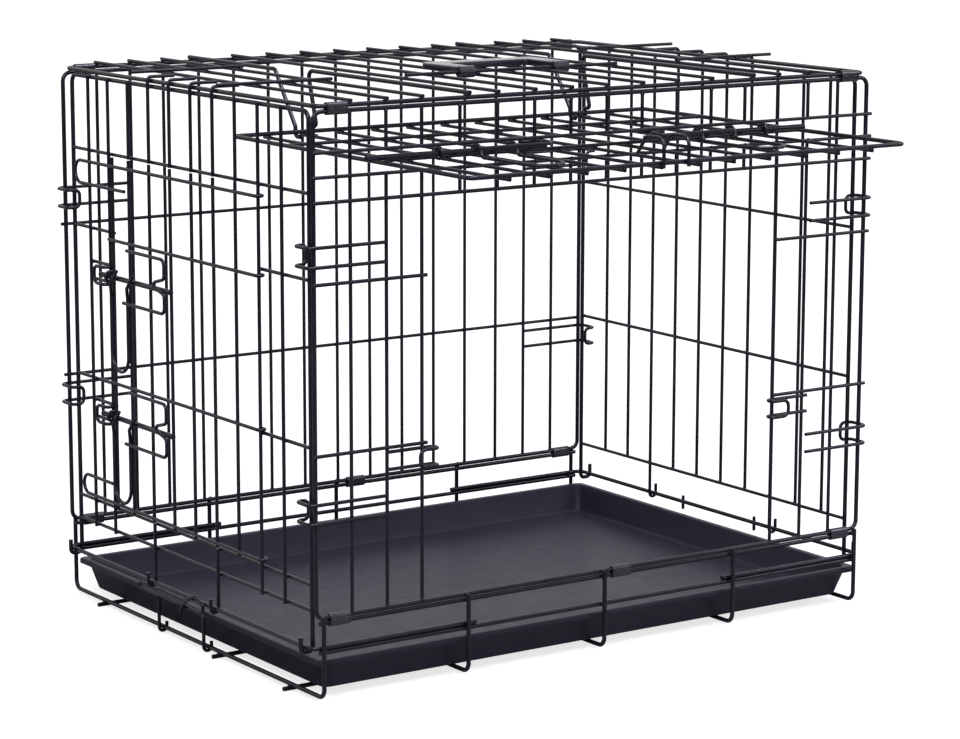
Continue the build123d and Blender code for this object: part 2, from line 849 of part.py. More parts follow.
with BuildPart() as side_door_bars:
    for z in (side_high_z, side_low_z):
        bent_wire(
            [
                (curl[0], side_axis_y + side_curl_lap, z),
                (curl[0], curl[1], z),
                (side_bar_x, curl[1], z),
                (side_bar_x, side_stile_y + stud, z),
            ],
            fill_wire,
            curl_bend,
        )
    for z, turn_y, rise, end_y in (
        (side_top_z, side_loop_top_y, -side_loop_top_drop, second_stile_y + stud),
        (side_bottom_z, side_loop_bottom_y, side_loop_bottom_rise, side_stile_y + weld),
    ):
        loop_bend = abs(rise) / 2 - bend_play
        bent_wire(
            [
                (curl[0], side_axis_y + side_curl_lap, z),
                (curl[0], curl[1], z),
                (side_bar_x, curl[1], z),
                (side_bar_x, turn_y, z),
                (side_bar_x, turn_y, z + rise),
                (side_bar_x, end_y, z + rise),
            ],
            fill_wire,
            [curl_bend, curl_bend, loop_bend, loop_bend],
        )
side_door_bars.part.label = "side_door_bars"
export_step(side_door_bars.part, "parts/side_door_bars.step")

with BuildPart() as side_door_rods:
    rod_spots = [side_stile_y] + [second_stile_y - n * end_pitch for n in range(6)]
    wires_along_z([(side_rod_x, y) for y in rod_spots], side_low_end, side_high_end, fill_wire)
side_door_rods.part.label = "side_door_rods"
export_step(side_door_rods.part, "parts/side_door_rods.step")

with BuildPart() as side_bolt_guides:
    root_x = side_rod_x - fill_r - weld_gap
    for z in (bolt_upper_z, bolt_lower_z):
        bent_wire(
            [
                (root_x, side_stile_y, z - staple_half),
                (side_guide_x, side_stile_y, z - staple_half),
                (side_guide_x, side_stile_y, z + staple_half),
                (root_x, side_stile_y, z + staple_half),
            ],
            fill_wire,
            staple_bend,
        )
side_bolt_guides.part.label = "side_bolt_guides"
export_step(side_bolt_guides.part, "parts/side_bolt_guides.step")

with BuildPart() as side_bolt_loops:
    loop_turn = (side_stile_y - second_stile_y) / 2 - bend_play
    for z, low in ((bolt_upper_z, side_loop_low_z), (bolt_lower_z, side_bottom_z + weld)):
        knee_z = z - side_loop_knee
        start_z = z - side_loop_start
        bent_wire(
            [
                (side_guide_x, side_stile_y - side_loop_lean, z + side_loop_tip),
                (side_guide_x, side_stile_y - side_loop_knee_lean, knee_z),
                (side_bar_x, side_stile_y, start_z),
                (side_bar_x, side_stile_y, low),
                (side_bar_x, second_stile_y, low),
                (side_bar_x, second_stile_y, start_z),
                (side_guide_x, second_stile_y - side_loop_knee_lean, knee_z),
                (side_guide_x, second_stile_y - side_loop_lean, z + side_loop_tip),
            ],
            fill_wire,
            [turn_bend, turn_bend, loop_turn, loop_turn, turn_bend, turn_bend],
        )
side_bolt_loops.part.label = "side_bolt_loops"
export_step(side_bolt_loops.part, "parts/side_bolt_loops.step")

# Slide bolts of the side door, drawn back
side_grip_x = side_bolt_x - grip_off
side_tail_y = side_tip_y - side_bolt_length

with BuildPart() as side_upper_rod:
    wires_along_y([(side_bolt_x, bolt_upper_z)], side_tail_y, side_tip_y, bolt_rod)
side_upper_rod.part.label = "side_upper_rod"
export_step(side_upper_rod.part, "parts/side_upper_rod.step")

with BuildPart() as side_upper_grip:
    shape = [(side_grip_x, along, bolt_upper_z + across) for along, across in grip_points(side_tail_y, 1)]
    bent_wire(shape, fill_wire, grip_bends)
side_upper_grip.part.label = "side_upper_grip"
export_step(side_upper_grip.part, "parts/side_upper_grip.step")

with BuildPart() as side_lower_rod:
    wires_along_y([(side_bolt_x, bolt_lower_z)], side_tail_y, side_tip_y, bolt_rod)
side_lower_rod.part.label = "side_lower_rod"
export_step(side_lower_rod.part, "parts/side_lower_rod.step")

with BuildPart() as side_lower_grip:
    shape = [(side_grip_x, along, bolt_lower_z + across) for along, across in grip_points(side_tail_y, 1)]
    bent_wire(shape, fill_wire, grip_bends)
side_lower_grip.part.label = "side_lower_grip"
export_step(side_lower_grip.part, "parts/side_lower_grip.step")

# Pan gate at the left end, hooked round the end rung
gate_heel_x = -rung_x + gate_curl
gate_low_z = rung_z - gate_curl
gate_hook_z = rung_z + gate_hook_end
gate_bend = gate_curl - bend_play
gate_tail_z = gate_top_z + gate_tail_rise

with BuildPart() as pan_gate:
    gate_turn = gate_tail_rise / 2 - bend_play
    bent_wire(
        [
            (gate_heel_x, gate_front_y, gate_hook_z),
            (gate_heel_x, gate_front_y, gate_low_z),
            (gate_x, gate_front_y, gate_low_z),
            (gate_x, gate_front_y, gate_top_z),
            (gate_x, gate_turn_y, gate_top_z),
            (gate_x, gate_turn_y, gate_tail_z),
            (gate_x, gate_tail_y, gate_tail_z),
        ],
        fill_wire,
        [gate_bend, gate_bend, clip_bend, gate_turn, gate_turn],
    )
    bent_wire(
        [
            (gate_heel_x, gate_rear_y, gate_hook_z),
            (gate_heel_x, gate_rear_y, gate_low_z),
            (gate_x, gate_rear_y, gate_low_z),
            (gate_x, gate_rear_y, gate_top_z - fill_r - weld_gap),
        ],
        fill_wire,
        gate_bend,
    )
pan_gate.part.label = "pan_gate"
export_step(pan_gate.part, "parts/pan_gate.step")

with BuildPart() as gate_clip:
    near_x = gate_x - weld
    far_x = gate_x - gate_clip_stand
    crest_y = gate_front_y + wire_lap
    bent_wire(
        [
            (near_x, crest_y + catch_foot, gate_top_z - turn_bend),
            (near_x, crest_y + catch_foot - clip_bend, gate_top_z + stud),
            (far_x, crest_y + clip_width, gate_tail_z + stud),
            (far_x, crest_y, gate_top_z + gate_clip_rise),
            (far_x, crest_y - clip_width, gate_tail_z + panel_bend),
            (far_x, crest_y - clip_width, gate_tail_z),
        ],
        fill_wire,
        [hook_bend, hook_bend, panel_bend, stud],
    )
gate_clip.part.label = "gate_clip"
export_step(gate_clip.part, "parts/gate_clip.step")

# Floor pan: a flared tray whose rim turns out and down
with BuildPart() as floor_pan:
    rim_low = pan_rim_z - pan_wall
    lip_x = pan_half_length - pan_flange
    lip_y = pan_half_depth - pan_flange
    low_x = lip_x - pan_end_slope
    low_y = lip_y - pan_side_slope
    with BuildSketch(Plane.XY.offset(pan_bottom_z)):
        with Locations((pan_x, 0)):
            RectangleRounded(2 * low_x, 2 * low_y, pan_corner)
    with BuildSketch(Plane.XY.offset(rim_low)):
        with Locations((pan_x, 0)):
            RectangleRounded(2 * lip_x, 2 * lip_y, pan_corner)
    loft()
    with BuildSketch(Plane.XY.offset(rim_low)):
        with Locations((pan_x, 0)):
            RectangleRounded(2 * pan_half_length, 2 * pan_half_depth, pan_rim_corner)
    extrude(amount=pan_wall)
    with BuildSketch(Plane.XY.offset(pan_rim_z - pan_lip)):
        with Locations((pan_x, 0)):
            RectangleRounded(2 * pan_half_length, 2 * pan_half_depth, pan_rim_corner)
            RectangleRounded(
                2 * (pan_half_length - pan_wall),
                2 * (pan_half_depth - pan_wall),
                pan_rim_corner - pan_wall,
                mode=Mode.SUBTRACT,
            )
    extrude(amount=pan_lip - pan_wall)
    with BuildSketch(Plane.XY.offset(pan_bottom_z + pan_wall)):
        with Locations((pan_x, 0)):
            RectangleRounded(2 * (low_x - pan_wall), 2 * (low_y - pan_wall), pan_corner - pan_wall)
    with BuildSketch(Plane.XY.offset(pan_rim_z)):
        with Locations((pan_x, 0)):
            RectangleRounded(2 * (lip_x - pan_wall), 2 * (lip_y - pan_wall), pan_corner - pan_wall)
    loft(mode=Mode.SUBTRACT)
floor_pan.part.label = "floor_pan"
export_step(floor_pan.part, "parts/floor_pan.step")

# Carry handle: a flat grip on two feet that turn on the roof's middle wire
with BuildPart() as carry_handle:
    foot_bore = fill_r + handle_bore_gap
    plate_low = roof_cross_z + fill_r + run_gap
    back_y = handle_y + handle_reach
    grip_half = handle_foot_x + handle_flare
    with BuildSketch(Plane.XY.offset(plate_low)):
        with BuildLine():
            Polyline(
                (-handle_foot_x - handle_foot_length / 2, handle_y),
                (-grip_half, back_y - handle_grip_width),
                (-grip_half, back_y),
                (grip_half, back_y),
                (grip_half, back_y - handle_grip_width),
                (handle_foot_x + handle_foot_length / 2, handle_y),
                (handle_foot_x - handle_foot_length / 2, handle_y),
                (handle_foot_x - handle_foot_length / 2, back_y - handle_grip_width),
                (-handle_foot_x + handle_foot_length / 2, back_y - handle_grip_width),
                (-handle_foot_x + handle_foot_length / 2, handle_y),
                close=True,
            )
        make_face()
    extrude(amount=handle_thickness)
    upright_edges = carry_handle.edges().filter_by(Axis.Z)
    rear_edges = upright_edges.filter_by_position(Axis.Y, back_y - wire_lap, back_y + wire_lap)
    fillet(rear_edges, handle_grip_width / 2 - wire_lap)
    for x in (-handle_foot_x, handle_foot_x):
        with BuildSketch(Plane.YZ.offset(x - handle_foot_length / 2)):
            with Locations((handle_y, roof_long_z)):
                Circle(handle_foot_radius)
        extrude(amount=handle_foot_length)
    for x in (-handle_foot_x, handle_foot_x):
        with BuildSketch(Plane.YZ.offset(x - handle_foot_length)):
            with Locations((handle_y, roof_long_z)):
                Circle(foot_bore)
        extrude(amount=2 * handle_foot_length, mode=Mode.SUBTRACT)
carry_handle.part.label = "carry_handle"
export_step(carry_handle.part, "parts/carry_handle.step")
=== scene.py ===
import json
import math

import bmesh
import bpy
from mathutils import Matrix, Vector


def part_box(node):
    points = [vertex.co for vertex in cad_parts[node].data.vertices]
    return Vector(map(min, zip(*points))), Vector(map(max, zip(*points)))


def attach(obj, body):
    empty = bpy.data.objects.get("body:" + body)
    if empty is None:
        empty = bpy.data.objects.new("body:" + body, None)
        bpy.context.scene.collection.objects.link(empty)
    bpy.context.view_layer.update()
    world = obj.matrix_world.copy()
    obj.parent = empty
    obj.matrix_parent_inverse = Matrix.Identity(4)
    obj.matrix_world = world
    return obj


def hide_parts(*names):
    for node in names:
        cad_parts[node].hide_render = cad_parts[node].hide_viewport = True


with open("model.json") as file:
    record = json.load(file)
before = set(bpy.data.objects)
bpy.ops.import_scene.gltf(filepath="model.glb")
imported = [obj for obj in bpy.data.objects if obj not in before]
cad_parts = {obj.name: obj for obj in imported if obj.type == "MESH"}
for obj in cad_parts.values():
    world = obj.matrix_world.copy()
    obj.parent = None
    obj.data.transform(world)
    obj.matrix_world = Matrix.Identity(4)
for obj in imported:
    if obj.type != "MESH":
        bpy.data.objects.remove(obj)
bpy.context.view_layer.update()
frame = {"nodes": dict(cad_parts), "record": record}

nodes = frame["nodes"]
joints = frame["record"]["behaviour"]["joints"]
scene = bpy.context.scene
scene.view_settings.view_transform = "Standard"
MM = 0.001
X, Y, Z = 0, 1, 2


class Value:
    """A node's socket that takes part in Python sums; each sum adds its Math node."""

    def __init__(self, maker, socket):
        self.maker = maker
        self.socket = socket

    def _math(self, operation, first, second):
        made = self.maker.add("ShaderNodeMath", {"operation": operation}, {0: first, 1: second})
        return Value(self.maker, made.outputs[0])

    def __add__(self, other):
        return self._math("ADD", self, other)

    def __radd__(self, other):
        return self._math("ADD", other, self)

    def __sub__(self, other):
        return self._math("SUBTRACT", self, other)

    def __rsub__(self, other):
        return self._math("SUBTRACT", other, self)

    def __mul__(self, other):
        return self._math("MULTIPLY", self, other)

    def __rmul__(self, other):
        return self._math("MULTIPLY", other, self)

    def clipped(self, low, high):
        """0 up to low, 1 from high on, and an even slope between them."""
        made = self.maker.add(
            "ShaderNodeMapRange",
            {"clamp": True},
            {"Value": self, "From Min": low, "From Max": high, "To Min": 0.0, "To Max": 1.0},
        )
        return Value(self.maker, made.outputs["Result"])


class NodeMaker:
    """A node tree and the one method that adds its nodes."""

    def __init__(self, tree):
        self.tree = tree

    def add(self, kind, settings, inputs):
        made = self.tree.nodes.new(kind)
        for key, value in settings.items():
            setattr(made, key, value)
        for key, value in inputs.items():
            socket = made.inputs[key] if isinstance(key, int) else self.open_socket(made.inputs, key)
            self.feed(socket, value)
        return made

    def feed(self, socket, value):
        if isinstance(value, Value):
            self.tree.links.new(value.socket, socket)
        elif isinstance(value, bpy.types.NodeSocket):
            self.tree.links.new(value, socket)
        else:
            socket.default_value = value

    def open_socket(self, sockets, name):
        """The socket of that name that the node's settings leave in use."""
        return next(socket for socket in sockets if socket.name == name and socket.enabled)


class Finish(NodeMaker):
    """One procedural material on the object's own coordinates, in metres."""

    def __init__(self, name):
        self.material = bpy.data.materials.new(name)
        self.material.use_nodes = True
        super().__init__(self.material.node_tree)
        self.surface = self.tree.nodes["Principled BSDF"]
        self.place = self.add("ShaderNodeTexCoord", {}, {}).outputs["Object"]

    def noise(self, scale, detail=2.0, rough=0.5):
        made = self.add(
            "ShaderNodeTexNoise",
            {},
            {"Vector": self.place, "Scale": scale, "Detail": detail, "Roughness": rough},
        )
        return Value(self, made.outputs["Fac"])

    def blend(self, mask, dark, light):
        made = self.add(
            "ShaderNodeMix", {"data_type": "RGBA"}, {0: mask, 6: (*dark, 1.0), 7: (*light, 1.0)}
        )
        return made.outputs[2]

    def distance(self):
        """How far a place is from the origin."""
        made = self.add("ShaderNodeVectorMath", {"operation": "LENGTH"}, {0: self.place})
        return Value(self, made.outputs["Value"])

    def bump(self, height, depth, strength):
        made = self.add("ShaderNodeBump", {}, {"Height": height, "Distance": depth, "Strength": strength})
        self.feed(self.surface.inputs["Normal"], made.outputs["Normal"])

    def set(self, **sockets):
        for key, value in sockets.items():
            self.feed(self.surface.inputs[key.replace("_", " ")], value)


VIOLET_SHEEN = (0.88, 0.82, 1.0, 1.0)


def coated_wire(name, dark, light, smooth, dull, sheen):
    """Black baked coating: a faint orange peel, thin and thick patches of coat."""
    finish = Finish(name)
    patch = finish.noise(scale=38.0, detail=3.0, rough=0.6)
    fine = finish.noise(scale=900.0, detail=2.0, rough=0.5)
    peel = finish.noise(scale=1500.0, detail=1.0, rough=0.5)
    shade = (0.7 * patch + 0.3 * fine).clipped(0.3, 0.7)
    thin_coat = 0.08
    thick_coat = 0.18
    finish.set(
        Base_Color=finish.blend(shade, dark, light),
        Roughness=smooth + (dull - smooth) * patch.clipped(0.35, 0.7),
        Specular_IOR_Level=sheen,
        Specular_Tint=VIOLET_SHEEN,
        Coat_Roughness=0.1,
        Coat_Weight=thin_coat + (thick_coat - thin_coat) * fine.clipped(0.4, 0.7),
    )
    finish.bump(peel, depth=0.1 * MM, strength=0.15)
    return finish.material


def moulded_plastic(name, dark, light, smooth, dull, sheen, grain, depth):
    """Black moulded plastic: a fine pebbled grain, slight mottling and scuffs."""
    finish = Finish(name)
    mottle = finish.noise(scale=9.0, detail=4.0, rough=0.55)
    scuff = finish.noise(scale=60.0, detail=5.0, rough=0.7)
    cells = finish.add(
        "ShaderNodeTexVoronoi",
        {"feature": "SMOOTH_F1"},
        {"Vector": finish.place, "Scale": grain, "Smoothness": 0.6},
    )
    pebble = Value(finish, cells.outputs["Distance"])
    shade = (0.75 * mottle + 0.25 * scuff).clipped(0.3, 0.7)
    finish.set(
        Base_Color=finish.blend(shade, dark, light),
        Roughness=smooth + (dull - smooth) * scuff.clipped(0.4, 0.75),
        Specular_IOR_Level=sheen,
        Specular_Tint=VIOLET_SHEEN,
    )
    finish.bump(pebble, depth, strength=0.35)
    return finish.material


FINISHES = {
    "wire": coated_wire(
        "wire_black_coat",
        dark=(0.0032, 0.0026, 0.0044),
        light=(0.0084, 0.0068, 0.0116),
        smooth=0.17,
        dull=0.28,
        sheen=0.15,
    ),
    "sleeve": coated_wire(
        "sleeve_black_coat",
        dark=(0.0045, 0.0038, 0.0055),
        light=(0.012, 0.0105, 0.014),
        smooth=0.18,
        dull=0.30,
        sheen=0.45,
    ),
    "pan": moulded_plastic(
        "pan_black_plastic",
        dark=(0.0150, 0.0132, 0.0205),
        light=(0.0215, 0.0192, 0.0285),
        smooth=0.34,
        dull=0.44,
        sheen=0.08,
        grain=700.0,
        depth=0.2 * MM,
    ),
    "handle": moulded_plastic(
        "handle_black_plastic",
        dark=(0.0065, 0.0056, 0.0080),
        light=(0.0125, 0.0110, 0.0150),
        smooth=0.14,
        dull=0.24,
        sheen=0.50,
        grain=900.0,
        depth=0.06 * MM,
    ),
}

slot_of = {entry["node"]: entry["material_slot"] for entry in frame["record"]["subparts"]}
for name, node in nodes.items():
    node.data.materials.clear()
    node.data.materials.append(FINISHES[slot_of[name]])


def place_piece(name, mesh, body, slot):
    """A finished mesh as a piece at the origin, on its body and slot."""
    piece = bpy.data.objects.new(name, mesh)
    scene.collection.objects.link(piece)
    if not mesh.materials:
        mesh.materials.append(FINISHES[slot])
    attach(piece, body)
    return piece


# Straight runs of wire, read from the boxes of the CAD solids
class Run:
    """A straight length of wire along one axis."""

    def __init__(self, axis, centre, low, high, radius):
        self.axis = axis
        self.centre = centre
        self.low = low
        self.high = high
        self.radius = radius


def solids_of(name):
    """Lowest and highest corners of a CAD node's separate solids, in order of place."""
    mesh = bmesh.new()
    mesh.from_mesh(nodes[name].data)
    bmesh.ops.remove_doubles(mesh, verts=mesh.verts, dist=0.001 * MM)
    left = set(mesh.verts)
    boxes = []
    while left:
        group = [left.pop()]
        for vertex in group:
            for edge in vertex.link_edges:
                other = edge.other_vert(vertex)
                if other in left:
                    left.remove(other)
                    group.append(other)
        low = Vector([min(vertex.co[axis] for vertex in group) for axis in range(3)])
        high = Vector([max(vertex.co[axis] for vertex in group) for axis in range(3)])
        boxes.append((low, high))
    mesh.free()
    boxes.sort(key=lambda box: [round(place, 4) for corner in box for place in corner])
    return boxes


def run_between(low, high, axis, pins, radius):
    """A run along axis across a box; pins give its place on the other axes."""
    centre = (low + high) / 2
    for pin, place in pins.items():
        centre[pin] = place
    return Run(axis, centre, low[axis], high[axis], radius)


def straight_runs(name):
    """Wires that are straight from end to end."""
    runs = []
    for low, high in solids_of(name):
        size = high - low
        axis = max(range(3), key=lambda each: size[each])
        runs.append(run_between(low, high, axis, {}, min(size) / 2))
    return runs


FRAME_R = straight_runs("base_rails")[0].radius
FILL_R = straight_runs("left_end_wires")[0].radius


def ring_runs(name):
    """The four sides of each rounded frame wire."""
    runs = []
    for low, high in solids_of(name):
        size = high - low
        thin = min(range(3), key=lambda each: size[each])
        radius = size[thin] / 2
        first, second = [axis for axis in range(3) if axis != thin]
        for axis, other in ((first, second), (second, first)):
            for place in (low[other] + radius, high[other] - radius):
                runs.append(run_between(low, high, axis, {other: place}, radius))
    return runs


def rung_runs(name):
    """The floor length and the two legs of each U-shaped rung."""
    runs = []
    for low, high in solids_of(name):
        runs.append(run_between(low, high, Y, {Z: low.z + FRAME_R}, FRAME_R))
        for place in (low.y + FRAME_R, high.y - FRAME_R):
            runs.append(run_between(low, high, Z, {Y: place}, FRAME_R))
    return runs


def end_frame_runs(name, side):
    """The top and the two posts of an end panel's frame; side is the sign of its X."""
    runs = []
    for low, high in solids_of(name):
        inner = low.x + FRAME_R if side > 0 else high.x - FRAME_R
        runs.append(run_between(low, high, Y, {X: inner, Z: high.z - FRAME_R}, FRAME_R))
        for place in (low.y + FRAME_R, high.y - FRAME_R):
            runs.append(run_between(low, high, Z, {X: inner, Y: place}, FRAME_R))
    return runs


def end_hook_runs(name, wires):
    """The upright length of each hooked wire, in one plane with the panel's straight wires."""
    wire_x = straight_runs(wires)[0].centre.x
    return [run_between(low, high, Z, {X: wire_x}, FILL_R) for low, high in solids_of(name)]


def leg_runs(name, axis, across, on_high_side):
    """The two legs of each clip or keeper, on the high or the low side of its box."""
    runs = []
    for low, high in solids_of(name):
        place = high[across] - FILL_R if on_high_side else low[across] + FILL_R
        for height in (low.z + FILL_R, high.z - FILL_R):
            runs.append(run_between(low, high, axis, {across: place, Z: height}, FILL_R))
    return runs


def side_bar_runs(name, middle_z):
    """The long leg of each side door bar: the upper leg above middle_z, the lower leg below it."""
    runs = []
    for low, high in solids_of(name):
        height = high.z - FILL_R if (low.z + high.z) / 2 > middle_z else low.z + FILL_R
        runs.append(run_between(low, high, Y, {X: low.x + FILL_R, Z: height}, FILL_R))
    return runs


def hanger_runs(name):
    """The upper length of each hanger rod."""
    return [run_between(low, high, Y, {Z: high.z - FRAME_R}, FRAME_R) for low, high in solids_of(name)]


def weld_spots(runs):
    """Where two runs touch: (place, facing axis, wire radius) for lap welds and butt welds."""
    touch = 0.15 * MM
    spots = []
    for index, first in enumerate(runs):
        for second in runs[index + 1 :]:
            if first.axis == second.axis:
                continue
            across = X + Y + Z - first.axis - second.axis
            reach = first.radius + second.radius
            apart = second.centre[across] - first.centre[across]
            if abs(apart) > reach + touch:
                continue
            at_first = second.centre[first.axis]
            at_second = first.centre[second.axis]
            off_first = max(first.low - at_first, at_first - first.high, 0.0)
            off_second = max(second.low - at_second, at_second - second.high, 0.0)
            spot = Vector()
            spot[first.axis] = min(max(at_first, first.low), first.high)
            spot[second.axis] = min(max(at_second, second.low), second.high)
            spot[across] = first.centre[across] + apart * first.radius / reach
            small = min(first.radius, second.radius)
            if abs(apart) > reach - touch and off_first == 0.0 and off_second == 0.0:
                spots.append((spot, across, small))
            elif abs(apart) < small and 0.0 < off_first <= second.radius + touch and off_second == 0.0:
                spot[across] = first.centre[across]
                spots.append((spot, first.axis, first.radius))
            elif abs(apart) < small and 0.0 < off_second <= first.radius + touch and off_first == 0.0:
                spot[across] = second.centre[across]
                spots.append((spot, second.axis, second.radius))
    return spots


def spots_clear_of(spots, name, stroke):
    """The spots that lie clear of a moving piece, at rest and along its stroke."""
    room = Vector((2.5, 2.5, 2.5)) * MM
    low, high = (Vector(corner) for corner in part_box(name))
    low = low - room
    high = high + room + stroke
    return [
        each for each in spots if not all(low[axis] < each[0][axis] < high[axis] for axis in range(3))
    ]


crate_runs = []
for name in (
    "floor_stringers",
    "base_rails",
    "pan_pegs",
    "front_uprights",
    "front_transom",
    "front_crosswires",
    "back_uprights",
    "back_crosswires",
    "left_end_wires",
    "left_end_crosswires",
    "right_end_wires",
    "right_end_crosswires",
    "roof_crosswires",
    "roof_long_wires",
):
    crate_runs += straight_runs(name)
for name in ("front_frame", "back_frame", "roof_frame"):
    crate_runs += ring_runs(name)
crate_runs += rung_runs("base_rungs")
crate_runs += end_frame_runs("left_end_frame", -1)
crate_runs += end_frame_runs("right_end_frame", 1)
crate_runs += end_hook_runs("left_end_hooks", "left_end_wires")
crate_runs += end_hook_runs("right_end_hooks", "right_end_wires")
crate_runs += leg_runs("front_clips", X, Y, False)
crate_runs += leg_runs("back_clips", X, Y, True)
crate_runs += leg_runs("front_keepers", X, Y, True)
crate_runs += leg_runs("side_keepers", Y, X, True)
crate_runs += hanger_runs("door_hangers")

front_door_runs = ring_runs("front_door_frame")
for name in ("front_door_bars", "front_door_rods"):
    front_door_runs += straight_runs(name)

door_low, door_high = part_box("side_door_rods")
side_door_runs = straight_runs("side_door_rods")
side_door_runs += side_bar_runs("side_door_bars", (door_low[Z] + door_high[Z]) / 2)


# Weld beads and crimps
class Growth(NodeMaker):
    """One Geometry Nodes tree with named inputs."""

    def __init__(self, name, inputs):
        super().__init__(bpy.data.node_groups.new(name, "GeometryNodeTree"))
        for way in ("INPUT", "OUTPUT"):
            self.tree.interface.new_socket(name="Geometry", in_out=way, socket_type="NodeSocketGeometry")
        self.sockets = {}
        for title, kind in inputs.items():
            made = self.tree.interface.new_socket(name=title, in_out="INPUT", socket_type=kind)
            self.sockets[title] = made.identifier
        self.given = self.add("NodeGroupInput", {}, {}).outputs


def bead_growth():
    """Flattened beads on the points of a mesh, turned to each point's facing."""
    growth = Growth(
        "weld_bead_growth",
        {
            "Width": "NodeSocketFloat",
            "Flatness": "NodeSocketFloat",
            "Unevenness": "NodeSocketFloat",
            "Seed": "NodeSocketInt",
            "Finish": "NodeSocketMaterial",
        },
    )
    given = growth.given
    facing = growth.add(
        "GeometryNodeInputNamedAttribute", {"data_type": "FLOAT_VECTOR"}, {"Name": "facing"}
    )
    radius = growth.add("GeometryNodeInputNamedAttribute", {"data_type": "FLOAT"}, {"Name": "wire_radius"})
    uneven = Value(growth, given["Unevenness"])
    chance = growth.add(
        "FunctionNodeRandomValue",
        {"data_type": "FLOAT"},
        {"Min": 1.0 - uneven, "Max": 1.0 + uneven, "Seed": given["Seed"]},
    )
    wire_radius = Value(growth, growth.open_socket(radius.outputs, "Attribute"))
    spread = wire_radius * growth.open_socket(chance.outputs, "Value")
    width = spread * given["Width"]
    height = width * given["Flatness"]
    scale = growth.add("ShaderNodeCombineXYZ", {}, {"X": width, "Y": width, "Z": height})
    bead = growth.add("GeometryNodeMeshUVSphere", {}, {"Segments": 8, "Rings": 5, "Radius": 1.0})
    turn = growth.add(
        "FunctionNodeAlignRotationToVector",
        {"axis": "Z"},
        {"Vector": growth.open_socket(facing.outputs, "Attribute")},
    )
    placed = growth.add(
        "GeometryNodeInstanceOnPoints",
        {},
        {
            "Points": given["Geometry"],
            "Instance": bead.outputs["Mesh"],
            "Rotation": turn.outputs["Rotation"],
            "Scale": scale.outputs["Vector"],
        },
    )
    real = growth.add("GeometryNodeRealizeInstances", {}, {"Geometry": placed.outputs["Instances"]})
    smooth = growth.add("GeometryNodeSetShadeSmooth", {}, {"Geometry": real.outputs["Geometry"]})
    painted = growth.add(
        "GeometryNodeSetMaterial",
        {},
        {"Geometry": smooth.outputs["Geometry"], "Material": given["Finish"]},
    )
    growth.add("NodeGroupOutput", {}, {"Geometry": painted.outputs["Geometry"]})
    return growth


FACINGS = Matrix.Identity(3)
BEADS = bead_growth()
WELD = {"Width": 1.25, "Flatness": 0.62, "Unevenness": 0.12}
CRIMP = {"Width": 1.0, "Flatness": 0.45, "Unevenness": 0.05}


def grow_beads(name, body, slot, spots, form, seed):
    """Beads at the spots as one plain mesh that rides on the body."""
    points = bpy.data.meshes.new(name + "_points")
    points.from_pydata([tuple(spot) for spot, axis, radius in spots], [], [])
    points.attributes.new("facing", "FLOAT_VECTOR", "POINT")
    points.attributes.new("wire_radius", "FLOAT", "POINT")
    for index, (spot, axis, radius) in enumerate(spots):
        points.attributes["facing"].data[index].vector = FACINGS[axis]
        points.attributes["wire_radius"].data[index].value = radius
    holder = bpy.data.objects.new(name + "_points", points)
    scene.collection.objects.link(holder)
    modifier = holder.modifiers.new("beads", "NODES")
    modifier.node_group = BEADS.tree
    for title, value in {**form, "Seed": seed, "Finish": FINISHES[slot]}.items():
        modifier[BEADS.sockets[title]] = value
    grown = bpy.data.meshes.new_from_object(holder.evaluated_get(bpy.context.evaluated_depsgraph_get()))
    bpy.data.objects.remove(holder)
    grown.name = name
    place_piece(name, grown, body, slot)


crate_spots = spots_clear_of(weld_spots(crate_runs), "side_door_rods", Vector())
for joint in joints:
    if joint["name"].endswith("bolt_slide"):
        stroke = Vector(joint["axis"]) * joint["range_m"][1]
        crate_spots = spots_clear_of(crate_spots, joint["child"].replace("bolt", "grip"), stroke)
grow_beads("crate_weld_beads", "crate", "wire", crate_spots, WELD, seed=4)
grow_beads("front_door_weld_beads", "front_door", "wire", weld_spots(front_door_runs), WELD, seed=9)
grow_beads("side_door_weld_beads", "side_door", "wire", weld_spots(side_door_runs), WELD, seed=15)

crimp_r = 1.6 * MM
crimp_sunk = 0.4 * MM
crimp_share = 0.3
crimp_spots = []
for name in ("bottom_sleeves", "roof_sleeves"):
    for low, high in solids_of(name):
        middle = (low + high) / 2
        face = low.y if middle.y < 0 else high.y
        for share in (-crimp_share, crimp_share):
            along = middle.x + share * (high.x - low.x)
            spot = Vector((along, face - math.copysign(crimp_sunk, face), middle.z))
            crimp_spots.append((spot, Y, crimp_r))
grow_beads("sleeve_crimps", "crate", "sleeve", crimp_spots, CRIMP, seed=21)


# Floor pan
def bridge(built, rows):
    """Four-sided faces between each ring of points and the next."""
    for row, after in zip(rows, rows[1:]):
        count = len(row)
        for index in range(count):
            beside = (index + 1) % count
            built.faces.new((row[index], row[beside], after[beside], after[index]))


def quarter_turn(steps):
    """Angles from nought to a right angle."""
    return [math.pi / 2 * step / steps for step in range(steps + 1)]


def rounded_loop(centre, half_x, half_y, radius, height):
    """Points round a rectangle with round corners."""
    points = []
    for quarter, (side_x, side_y) in enumerate(((1, 1), (-1, 1), (-1, -1), (1, -1))):
        hub_x = centre.x + side_x * (half_x - radius)
        hub_y = centre.y + side_y * (half_y - radius)
        for part in quarter_turn(12):
            angle = math.pi / 2 * quarter + part
            points.append((hub_x + radius * math.cos(angle), hub_y + radius * math.sin(angle), height))
    return points


